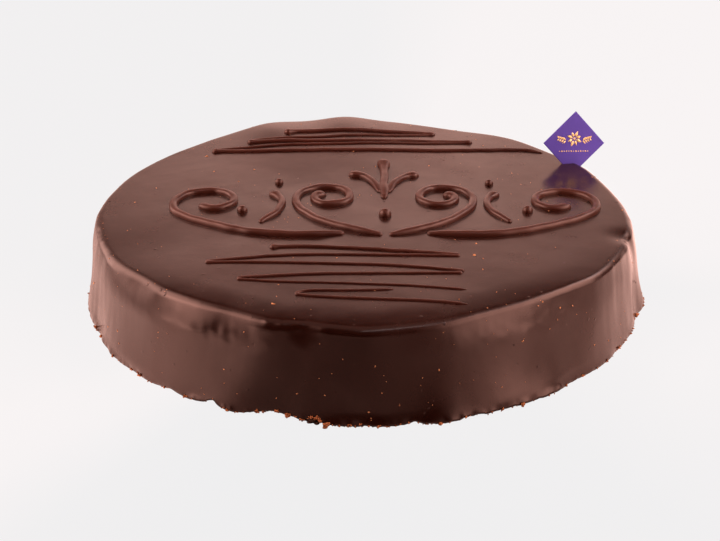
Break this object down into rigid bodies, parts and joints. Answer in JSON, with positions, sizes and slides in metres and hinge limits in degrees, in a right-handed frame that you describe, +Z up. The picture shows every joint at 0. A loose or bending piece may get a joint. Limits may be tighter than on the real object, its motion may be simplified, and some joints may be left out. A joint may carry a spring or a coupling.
{
  "type": "sachertorte cake",
  "caption": "Low round chocolate cake under a poured chocolate glaze, with piped drizzle lines, a piped scroll and a small square card stuck in by one corner.",
  "frame": {"origin": "middle of the cake's flat underside, on the surface it rests on", "axes": "+Z up, -Y towards the front of the cake, +X to its right, where the card stands"},
  "size_m": [0.2717, 0.2702, 0.0692],
  "materials": {
    "sponge": "crumbly dark chocolate sponge, matte",
    "glaze": "set chocolate glaze, satin to glossy",
    "card": "satin purple card with a gold print on the front"
  },
  "bodies": {
    "root": {"sponge": "sponge", "glaze": "glaze", "card": "card"}
  },
  "joints": []
}
